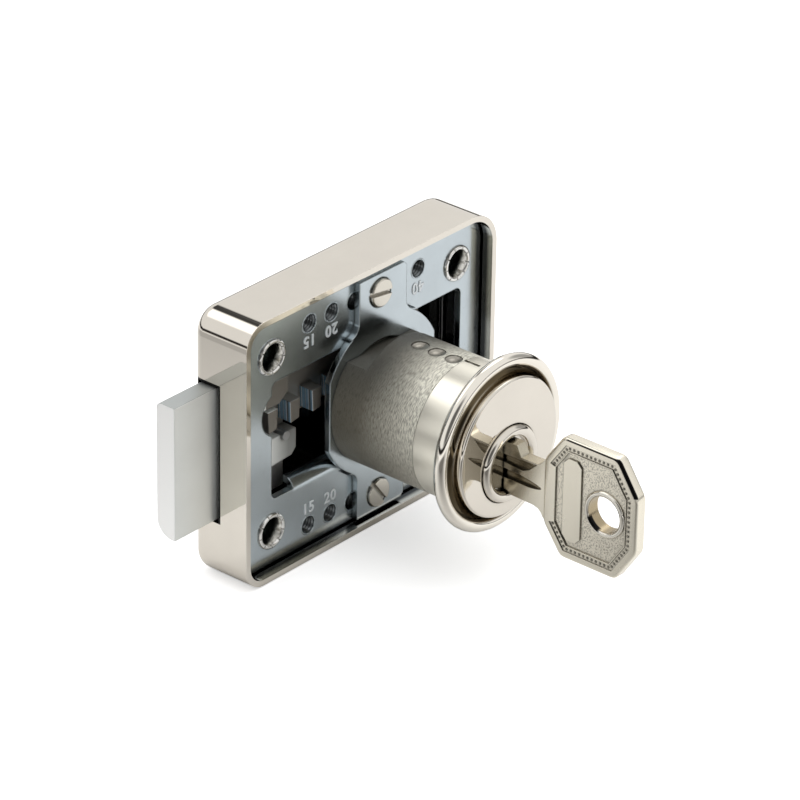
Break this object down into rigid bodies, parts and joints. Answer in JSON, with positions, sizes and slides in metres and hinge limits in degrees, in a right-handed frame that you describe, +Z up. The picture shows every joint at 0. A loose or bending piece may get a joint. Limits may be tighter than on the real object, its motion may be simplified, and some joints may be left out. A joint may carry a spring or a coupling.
{
  "type": "rim cylinder cupboard lock with key",
  "caption": "Surface-mounted cupboard lock: shallow metal case, sliding deadbolt driven by a rack, round pin cylinder through the door with rosette, and a flat key.",
  "frame": {"origin": "on the barrel's axis, in the plane of the case's rim, which lies against the door", "axes": "+X along the bolt's travel away from the bolt's end, +Y into the case and away from the door, +Z up"},
  "size_m": [0.0666, 0.0613, 0.0448],
  "materials": {
    "polished_nickel": "polished nickel plate",
    "zinc_plate": "bright zinc plate, slightly blue",
    "cast_bolt": "die-cast zinc, satin",
    "matte_nickel": "matte nickel, brushed round",
    "brass": "turned",
    "steel": "plain steel",
    "satin_nickel": "satin nickel plate"
  },
  "bodies": {
    "lock": {"case": "polished_nickel", "base_plate": "zinc_plate", "mounting_eyelets": "satin_nickel", "carrier_plate": "zinc_plate", "carrier_screws": "satin_nickel", "guide_stud": "steel", "barrel": "matte_nickel", "front_sleeve": "polished_nickel", "rosette": "polished_nickel", "chamber_plugs": "matte_nickel", "driver_pins": "steel", "pin_springs": "steel"},
    "bolt": {"deadbolt": "cast_bolt", "bolt_pin": "steel"},
    "plug": {"plug": "polished_nickel", "plug_clip": "steel", "drive_pinion": "cast_bolt", "pinion_screw": "steel", "key_pins": "brass"},
    "key": {"key": "satin_nickel"}
  },
  "joints": [
    {"name": "plug_turn", "type": "hinge", "parent": "lock", "child": "plug", "pos_m": [0, 0, -0.00267], "axis": [0, 1, 0], "range_deg": [0, 107.9]},
    {"name": "bolt_slide", "type": "slide", "parent": "lock", "child": "bolt", "axis": [1, 0, 0], "range_m": [0, 0.009]},
    {"name": "key_slide", "type": "slide", "parent": "plug", "child": "key", "axis": [0, -1, 0], "range_m": [0, 0.025]}
  ],
  "couplings": [
    {"joint": "bolt_slide", "follows": "plug_turn", "m_per_rad": 0.0047746}
  ]
}
